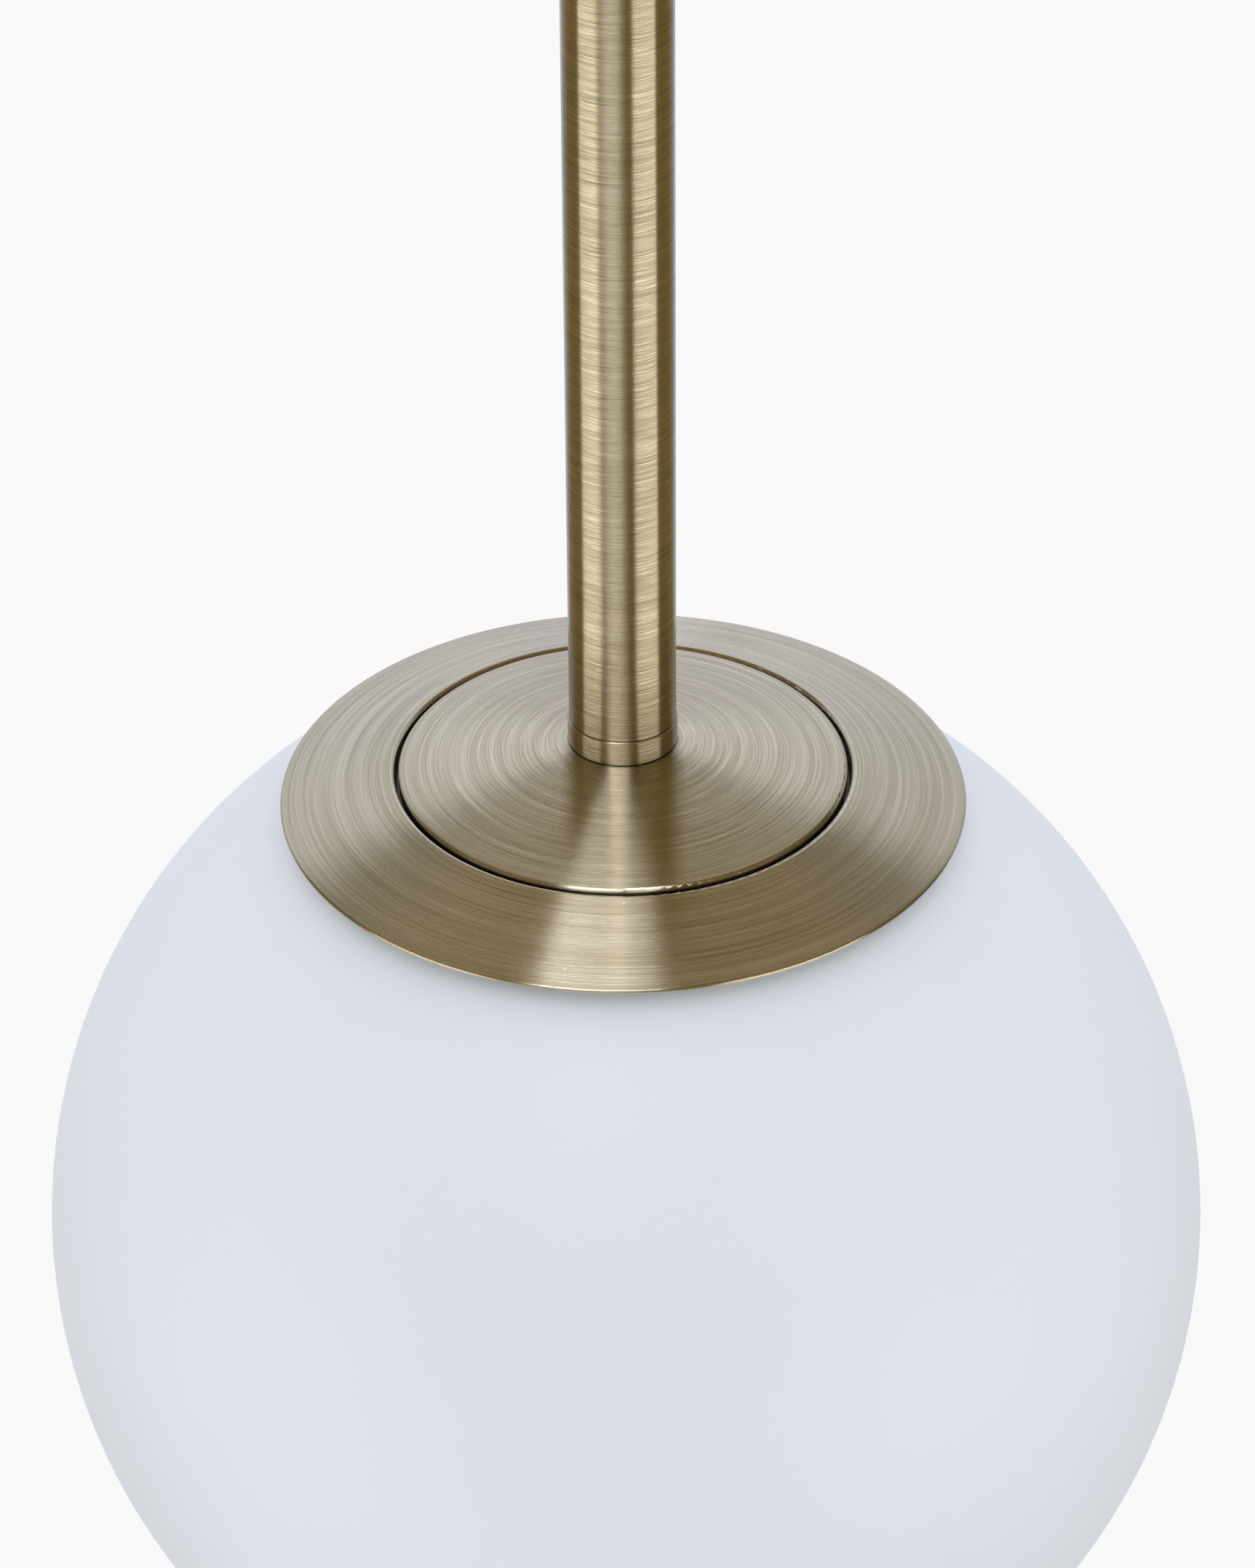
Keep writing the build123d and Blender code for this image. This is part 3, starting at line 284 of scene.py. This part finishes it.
for output, turns, coarseness, detail in (
    ("Fine", 1.3, 1.0, 2.0),
    ("Streaks", 0.8, 0.32, 2.0),
    ("Tone", 0.3, 0.08, 1.0),
):
    arc = scaled(spun_marks, around, turns)
    level = product(spun_marks, [lines_at, coarseness])
    height = node(spun_marks, "CombineXYZ", {"X": 0.0, "Y": 0.0, "Z": level}).outputs["Vector"]
    spot = node(spun_marks, "VectorMath", {0: arc, 1: height}, operation="ADD").outputs["Vector"]
    noise = node(spun_marks, "TexNoise", {"Vector": spot, "Scale": 1.0, "Detail": detail, "Roughness": 0.6})
    spun_marks.links.new(noise.outputs["Fac"], gives[output])

specks, takes, gives = new_group(
    "specks",
    [("Position", "Vector"), ("Cells Per Metre", "Float"), ("Size", "Float")],
    [("Mask", "Float")],
)
empty_share = 0.86  # of the cells, which hold no speck
speck_edge = 0.02  # of a cell's width
cells = node(specks, "TexVoronoi", {"Vector": takes["Position"], "Scale": takes["Cells Per Metre"]}).outputs
chance = node(specks, "SeparateXYZ", {"Vector": cells["Color"]}).outputs["X"]
reach = ramp_value(specks, chance, 0.0, takes["Size"], empty_share)
inside = node(specks, "Math", {0: reach, 1: cells["Distance"]}, operation="SUBTRACT").outputs["Value"]
specks.links.new(ramp_value(specks, inside, 0.0, 1.0, 0.0, speck_edge), gives["Mask"])

cap_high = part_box("centre_cap")[1]
cap_radius = cap_high.x
brass_shadow = (0.345, 0.288, 0.166)
brass_light = (0.575, 0.503, 0.356)
patina_and_painted_shade = (0.012, 0.010, 0.008)
dust_pale = (0.95, 0.94, 0.90)
dust_cells_per_metre = 700.0
dust_size = 0.08
lines_per_metre = 11500.0
brushing_depth = 0.000040
streak_weight = 0.5
tone_weight = 0.4
crevice_width = 0.0011


def antique_brass(name, across_face, smoothest, roughest, doming=0.0):
    """Brushed, darkened and lacquered brass, almost black in its crevices, partly as patina and partly as
    painted shade.
    across_face is 0 on tubes and 1 on spun faces, and the roughness of its lines runs from smoothest to
    roughest. doming flattens a cone's shading, by this slope at the axis and by nothing at the rim."""
    material, tree, shader, place = new_finish(
        name,
        Metallic=1.0,
        Anisotropic=1.0,
        Anisotropic_Rotation=0.25,
        Coat_Weight=0.5,
        Coat_Roughness=0.12,
    )
    inputs = {"Position": place, "Across Face": across_face, "Lines Per Metre": lines_per_metre}
    marks = node(tree, "Group", inputs, node_tree=spun_marks).outputs
    brushing = weighted_sum(tree, marks["Streaks"], streak_weight, marks["Fine"])
    toned = weighted_sum(tree, marks["Tone"], tone_weight, brushing)
    inputs = {"Position": place, "Cells Per Metre": dust_cells_per_metre, "Size": dust_size}
    dust = node(tree, "Group", inputs, node_tree=specks).outputs["Mask"]
    colour = ramp(tree, toned, brass_shadow, brass_light, low=0.73, high=1.18)
    dusted = mix_colour(tree, dust, colour, dust_pale)
    # Near black wherever another surface is within crevice_width: patina in the hollows, and painted shade
    # in gaps such as the one between cap and ring.
    openness = node(tree, "AmbientOcclusion", {"Distance": crevice_width}, samples=8).outputs["AO"]
    height = product(tree, [brushing, brushing_depth])
    if doming:
        outward = node(tree, "VectorMath", {0: place, 1: (1, 1, 0)}, operation="MULTIPLY").outputs["Vector"]
        radius = node(tree, "VectorMath", {0: outward}, operation="LENGTH").outputs["Value"]
        crown = product(tree, [radius, weighted_sum(tree, radius, -0.5 / cap_radius, 1.0), doming])
        height = node(tree, "Math", {0: height, 1: crown}, operation="ADD").outputs["Value"]
    # The narrow filter keeps the brushed lines crisp.
    inputs = {"Height": height, "Distance": 1.0, "Strength": 1.0, "Filter Width": 0.01}
    connect(
        tree,
        shader,
        Base_Color=ramp(tree, openness, patina_and_painted_shade, dusted, low=0.30, high=0.72),
        Roughness=ramp_value(tree, brushing, start=roughest, end=smoothest, low=0.55, high=0.95),
        Normal=node(tree, "Bump", inputs).outputs["Normal"],
        Tangent=node(tree, "Tangent", direction_type="RADIAL", axis="Z").outputs["Tangent"],
    )
    return material


brass_tube = antique_brass("antique_brass_tube", across_face=0.0, smoothest=0.23, roughest=0.43)
brass_face = antique_brass("antique_brass_face", across_face=1.0, smoothest=0.22, roughest=0.33)
brass_cap = antique_brass("antique_brass_cap", across_face=1.0, smoothest=0.23, roughest=0.34, doming=0.17)
dress(["canopy", "canopy_screws"], brass_tube)


# ---------------------------------------------------------------- swivel
# The swivel's turned seat lies in the canopy's floor, and a brass half ball hangs in it.
# A hollow threaded nipple with a washer and a nut ties ball, upper collar and rod together.

dress(["swivel_seat", "swivel_ball", "upper_collar"], brass_tube)
dress(["upper_nipple", "nipple_washers", "nipple_nuts"], zinc_steel)


# ---------------------------------------------------------------- rod
# The rod is a brass tube with a threaded bush soldered in each end. The flex runs inside it,
# and its three cores part below the lower nipple.

dress(["rod"], brass_tube)
dress(["rod_bushes"], plain_brass)

flex_sheath = insulation("flex_sheath", (0.55, 0.55, 0.53), (0.66, 0.66, 0.64))
dress(["flex"], flex_sheath)
dress(["live_core"], core_brown)
dress(["neutral_core"], core_blue)
dress(["earth_core"], core_green_yellow)


# ---------------------------------------------------------------- cap
# A short collar and the shallow centre cap sit under the rod, spun and brushed as the canopy is.
# Under the cap are the lower nipple and the threaded carrier, both of plated steel.

dress(["rod_collar"], brass_tube)
dress(["centre_cap"], brass_cap)
dress(["lower_nipple", "shade_carrier"], zinc_steel)


# ---------------------------------------------------------------- shade ring
# The spun shade ring screws on the carrier with a fibre slip washer between, and carries the glass
# on three spring clips with silicone pads. A silicone gasket keeps ring and glass apart.

dress(["shade_ring"], brass_face)

fibre = mottled(
    "fibre",
    grains_per_metre=1800.0,
    detail=6.0,
    dark=(0.16, 0.035, 0.02),
    light=(0.30, 0.07, 0.04),
    smoothest=0.6,
    roughest=0.85,
    bumps=(0.00005, 0.8),
    Specular_IOR_Level=0.25,
)
dress(["slip_washer"], fibre)

silicone = mottled(
    "silicone",
    grains_per_metre=700.0,
    detail=5.0,
    dark=(0.55, 0.56, 0.56),
    light=(0.68, 0.69, 0.69),
    smoothest=0.45,
    roughest=0.62,
    bumps=(0.00004, 0.5),
    Subsurface_Weight=0.2,
    Subsurface_Scale=0.003,
)
dress(["glass_gasket", "clip_pads"], silicone)

spring_steel = mottled(
    "spring_steel",
    grains_per_metre=1500.0,
    detail=3.0,
    dark=(0.38, 0.38, 0.39),
    light=(0.52, 0.52, 0.53),
    smoothest=0.25,
    roughest=0.4,
    Metallic=1.0,
)
dress(["glass_clips"], spring_steel)


# ---------------------------------------------------------------- globe
# The globe is blown opal glass with an acid-etched satin skin. The ring's clips reach in through its
# ground hole, and here and there a speck of grit shows in the glass.

opal_glass, tree, shader, place = new_finish(
    "opal_glass",
    Subsurface_Weight=0.3,
    Subsurface_Radius=(0.9, 0.95, 1.0),
    Subsurface_Scale=0.015,
    Specular_IOR_Level=0.3,
)
milk = cloudy(tree, place, grains_per_metre=14.0, detail=3.0)
opal = ramp(tree, milk, (0.786, 0.845, 0.940), (0.806, 0.862, 0.955), low=0.35, high=0.65)
inputs = {"Position": place, "Cells Per Metre": 55.0, "Size": 0.016}
grit = node(tree, "Group", inputs, node_tree=specks).outputs["Mask"]
etching = cloudy(tree, place, grains_per_metre=900.0, detail=3.0)
connect(
    tree,
    shader,
    Base_Color=mix_colour(tree, grit, opal, (0.42, 0.43, 0.46)),
    Roughness=ramp_value(tree, etching, start=0.46, end=0.56),
    Normal=relief(tree, etching, depth=0.00001, strength=0.4),
)
dress(["glass_globe"], opal_glass)


# ---------------------------------------------------------------- lampholder
# The screw-shell lampholder has a black phenolic cap and body, a fired steatite insulator,
# brass terminals with plated screws, and a brass screw shell with a sprung contact in it.

black_phenolic = mottled(
    "black_phenolic",
    grains_per_metre=900.0,
    detail=6.0,
    dark=(0.010, 0.009, 0.008),
    light=(0.030, 0.027, 0.024),
    smoothest=0.22,
    roughest=0.38,
    bumps=(0.00002, 0.5),
    Specular_IOR_Level=0.5,
)
dress(["holder_cap", "holder_body"], black_phenolic)

steatite = mottled(
    "steatite",
    grains_per_metre=1200.0,
    detail=5.0,
    dark=(0.62, 0.59, 0.51),
    light=(0.74, 0.71, 0.64),
    smoothest=0.5,
    roughest=0.7,
    bumps=(0.00004, 0.6),
    Specular_IOR_Level=0.4,
)
dress(["holder_insulator"], steatite)
dress(["holder_terminals", "screw_shell", "contact_leaf", "centre_contact"], plain_brass)
dress(["holder_screws", "holder_earth_tag"], zinc_steel)


# ---------------------------------------------------------------- lamp
# The lamp has a nickel-plated screw cap with a black glass insulator and a solder tip, a white housing,
# an aluminium board inside, and an opal diffuser.

lamp_nickel = mottled(
    "lamp_nickel",
    grains_per_metre=400.0,
    detail=5.0,
    dark=(0.56, 0.54, 0.50),
    light=(0.70, 0.68, 0.63),
    smoothest=0.2,
    roughest=0.34,
    Metallic=1.0,
)
dress(["lamp_cap", "lamp_tip"], lamp_nickel)

lamp_glass = mottled(
    "lamp_glass",
    grains_per_metre=500.0,
    detail=4.0,
    dark=(0.012, 0.012, 0.016),
    light=(0.03, 0.028, 0.035),
    smoothest=0.08,
    roughest=0.2,
    Specular_IOR_Level=0.5,
)
dress(["lamp_insulator"], lamp_glass)

lamp_housing_white = mottled(
    "lamp_housing_white",
    grains_per_metre=900.0,
    detail=4.0,
    dark=(0.76, 0.76, 0.75),
    light=(0.82, 0.82, 0.81),
    smoothest=0.38,
    roughest=0.5,
    bumps=(0.00002, 0.4),
    Specular_IOR_Level=0.4,
)
dress(["lamp_housing"], lamp_housing_white)

board_aluminium = mottled(
    "board_aluminium",
    grains_per_metre=600.0,
    detail=3.0,
    dark=(0.78, 0.78, 0.76),
    light=(0.86, 0.86, 0.84),
    smoothest=0.4,
    roughest=0.55,
    Metallic=0.2,
)
dress(["lamp_board"], board_aluminium)

lamp_diffuser_opal = mottled(
    "lamp_diffuser_opal",
    grains_per_metre=1500.0,
    detail=3.0,
    dark=(0.80, 0.80, 0.78),
    light=(0.85, 0.85, 0.83),
    smoothest=0.42,
    roughest=0.52,
    Subsurface_Weight=0.3,
    Subsurface_Scale=0.005,
    Specular_IOR_Level=0.4,
)
dress(["lamp_diffuser"], lamp_diffuser_opal)


# ---------------------------------------------------------------- studio
# A plain pale floor far below, two soft lights at the front corners, a pale backdrop behind and a soft
# panel high at the front. The brass mirrors all of them, and the walls between them are dim and warm.

floor_drop = 0.72
floor_radius = 4.0
mesh = bpy.data.meshes.new("floor")
shape = bmesh.new()
bmesh.ops.create_circle(shape, cap_ends=True, radius=floor_radius, segments=96)
shape.to_mesh(mesh)
shape.free()
floor = bpy.data.objects.new("floor", mesh)
floor.location.z = solids_box[0].z - floor_drop
bpy.context.scene.collection.objects.link(floor)

white = (1, 1, 1, 1)
paper_white = 0.955
paper_glow_share = 0.85
wall_tone = (0.290, 0.215, 0.080)
# For reflections only, the floor glows dim and warm in front and bright on a painted sheet of light that the
# rod mirrors, mostly to the left.
sheet_glow = (1.20, 1.20, 1.14)
sheet_left, sheet_right = -1.7, 0.35
sheet_soft_edge = 0.5
sheet_back_edge = (0.0, -0.3)
# Straight behind, in a wedge that widens with its distance, the floor glows in reflections as pale as the
# backdrop.
wedge_glow = (0.68, 0.77, 0.98)
wedge_side_edge = (0.75, 0.55)
wedge_start = (0.3, 0.5)


def soft_step(tree, value, start, end):
    """0 before start and 1 after end, with an eased edge between."""
    inputs = {"Value": value, "From Min": start, "From Max": end}
    return node(tree, "MapRange", inputs, interpolation_type="SMOOTHSTEP").outputs["Result"]


def mix_shader(tree, share, first, second):
    """first where share is 0 and second where it is 1."""
    return node(tree, "MixShader", {0: share, 1: first, 2: second}).outputs["Shader"]


def emission(tree, colour, strength):
    """Plain light of one colour."""
    return node(tree, "Emission", {"Color": colour, "Strength": strength}).outputs["Emission"]


paper = bpy.data.materials.new("paper")
paper.use_nodes = True
tree = paper.node_tree
tree.nodes.clear()
place = node(tree, "TexCoord").outputs["Object"]
fibres = cloudy(tree, place, grains_per_metre=30.0, detail=4.0)
paper_colour = ramp(tree, fibres, (0.88, 0.88, 0.88), (0.90, 0.90, 0.90), low=0.3, high=0.7)
matt = node(tree, "BsdfDiffuse", {"Color": paper_colour}).outputs["BSDF"]
lifted = mix_shader(tree, paper_glow_share, matt, emission(tree, white, paper_white))
ground = node(tree, "SeparateXYZ", {"Vector": place}).outputs
on_sheet = product(
    tree,
    [
        soft_step(tree, ground["X"], sheet_left, sheet_left + sheet_soft_edge),
        soft_step(tree, ground["X"], sheet_right, sheet_right - sheet_soft_edge),
        soft_step(tree, ground["Y"], *sheet_back_edge),
    ],
)
beside = node(tree, "Math", {0: ground["X"], 1: ground["Y"]}, operation="DIVIDE").outputs["Value"]
in_wedge = product(
    tree,
    [
        soft_step(tree, beside, *(-edge for edge in wedge_side_edge)),
        soft_step(tree, beside, *wedge_side_edge),
        soft_step(tree, ground["Y"], *wedge_start),
    ],
)
in_front = ramp(tree, on_sheet, wall_tone, sheet_glow)
# What glossy rays see of the floor is this painted glow, not lit paper.
mirrored = emission(tree, mix_colour(tree, in_wedge, in_front, wedge_glow), 1.0)
rays = node(tree, "LightPath").outputs
seen_rays = {0: rays["Is Camera Ray"], 1: rays["Is Transmission Ray"]}
is_seen = node(tree, "Math", seen_rays, operation="MAXIMUM").outputs["Value"]
unseen = mix_shader(tree, rays["Is Glossy Ray"], matt, mirrored)
above = mix_shader(tree, is_seen, unseen, lifted)
from_below = node(tree, "NewGeometry").outputs["Backfacing"]
clear = node(tree, "BsdfTransparent").outputs["BSDF"]
node(tree, "OutputMaterial", {"Surface": mix_shader(tree, from_below, above, clear)})
floor.data.materials.append(paper)

cap_top = Vector((0, 0, cap_high.z))
light_height = 1.5
light_distance = 1.6
light_drop = math.radians(22)


def corner_light(name, azimuth, width, radiance):
    """A rectangular soft light, below the level of the cap and turned to it.
    Its azimuth is in degrees: 0 is the front, and it grows to the right."""
    turn = math.radians(azimuth)
    data = bpy.data.lights.new(name, "AREA")
    data.shape = "RECTANGLE"
    data.size = width
    data.size_y = light_height
    data.energy = radiance * math.pi * width * light_height
    light = bpy.data.objects.new(name, data)
    level = math.cos(light_drop)
    away = Vector((math.sin(turn) * level, -math.cos(turn) * level, -math.sin(light_drop)))
    light.location = cap_top + light_distance * away
    light.rotation_euler = (-away).to_track_quat("-Z", "Y").to_euler()
    light.visible_diffuse = False
    bpy.context.scene.collection.objects.link(light)


corner_light("left_front", azimuth=-63.5, width=1.17, radiance=2.2)
corner_light("right_front", azimuth=54.0, width=1.42, radiance=2.5)

# What the brass mirrors is set by direction. Each edge is two shares of a direction, between which it fades.
backdrop_side_edge = (0.42, 0.62)
backdrop_top_edge = (0.69, 0.66)
backdrop_top_tone, backdrop_tone = (0.62, 0.64, 0.66), (1.34, 1.42, 1.70)
backdrop_tone_edge = (0.68, 0.55)
left_shade, left_edge = 0.60, (-0.33, -0.12)
right_shade, right_edge = 0.52, (0.12, 0.33)
low_shade, low_edge = 0.60, (-0.05, 0.22)
left_wall_tone, left_wall_edge = (0.36, 0.285, 0.155), (-0.3, 0.0)
wall_shade, ceiling_edge = 0.62, (0.70, 0.82)
# The panel's two sides lean so that its mirror image on a brushed cone is one straight-sided sector.
lean_centre = 0.824
panel_left_edge = (-0.275, -0.250)
panel_right_edge = (0.12, 0.10)
panel_low_edge = (0.62, 0.68)
panel_back_edge = (0.0, -0.05)
panel_left_tone, panel_right_tone = (6.2, 6.7, 8.3), (3.3, 3.55, 4.4)
panel_tone_edge = (-0.27, 0.05)


def background(tree, colour, strength=1.0):
    """The surround in one colour."""
    return node(tree, "Background", {"Color": colour, "Strength": strength}).outputs["Background"]


world = bpy.data.worlds.new("surround")
bpy.context.scene.world = world
world.use_nodes = True
tree = world.node_tree
tree.nodes.clear()
axes = node(tree, "SeparateXYZ", {"Vector": node(tree, "TexCoord").outputs["Generated"]}).outputs
sideways, backward, upward = (axes[axis] for axis in "XYZ")

on_backdrop = product(
    tree,
    [soft_step(tree, backward, *backdrop_side_edge), soft_step(tree, upward, *backdrop_top_edge)],
)
backdrop = ramp(tree, soft_step(tree, upward, *backdrop_tone_edge), backdrop_top_tone, backdrop_tone)
shading = product(
    tree,
    [
        ramp_value(tree, sideways, left_shade, 1.0, *left_edge),
        ramp_value(tree, sideways, 1.0, right_shade, *right_edge),
        ramp_value(tree, upward, low_shade, 1.0, *low_edge),
    ],
)
wall = scaled(
    tree,
    ramp(tree, sideways, left_wall_tone, wall_tone, *left_wall_edge),
    ramp_value(tree, upward, wall_shade, 1.0, *ceiling_edge),
)
walls = mix_colour(tree, on_backdrop, wall, scaled(tree, backdrop, shading))

before = node(tree, "Math", {0: lean_centre, 1: backward}, operation="SUBTRACT").outputs["Value"]
slant = node(tree, "Math", {0: sideways, 1: before}, operation="DIVIDE").outputs["Value"]
on_panel = product(
    tree,
    [
        soft_step(tree, slant, *panel_left_edge),
        soft_step(tree, slant, *panel_right_edge),
        soft_step(tree, upward, *panel_low_edge),
        soft_step(tree, backward, *panel_back_edge),
    ],
)
panel = scaled(tree, ramp(tree, slant, panel_left_tone, panel_right_tone, *panel_tone_edge), on_panel)
room = node(tree, "VectorMath", {0: walls, 1: panel}, operation="ADD").outputs["Vector"]
rays = node(tree, "LightPath").outputs
lit = mix_shader(tree, rays["Is Glossy Ray"], background(tree, white), background(tree, room))
shown = mix_shader(tree, rays["Is Camera Ray"], lit, background(tree, white, paper_white))
node(tree, "OutputWorld", {"Surface": shown})


# ---------------------------------------------------------------- camera
# A long lens looks down on the cap from the front. Its distance follows the globe's size, so that
# the light always fills the same part of the view.

globe_low, globe_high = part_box("glass_globe")
globe_radius = (globe_high.x - globe_low.x) / 2
globe_centre = Vector((0, 0, globe_low.z + globe_radius))
camera_rise = math.radians(37.390)
camera_distance = 10.315 * globe_radius
look_down = math.radians(33.275)
look_right = math.radians(0.0515)
camera_roll = math.radians(-0.3938)

camera_data = bpy.data.cameras.new("camera")
camera_data.lens = 134.96
camera_data.sensor_width = 36.0
camera_data.sensor_fit = "AUTO"
camera = bpy.data.objects.new("camera", camera_data)
bpy.context.scene.collection.objects.link(camera)
level = math.cos(look_down)
forward = Vector((math.sin(look_right) * level, math.cos(look_right) * level, -math.sin(look_down)))
right = forward.cross(Vector((0, 0, 1))).normalized()
up = right.cross(forward)
rolled_right = right * math.cos(camera_roll) + up * math.sin(camera_roll)
rolled_up = up * math.cos(camera_roll) - right * math.sin(camera_roll)
facing_matrix = Matrix((rolled_right, rolled_up, -forward)).transposed().to_4x4()
stand = globe_centre + camera_distance * Vector((0, -math.cos(camera_rise), math.sin(camera_rise)))
camera.matrix_world = Matrix.Translation(stand) @ facing_matrix
bpy.context.scene.camera = camera
bpy.context.scene.view_settings.view_transform = "Standard"
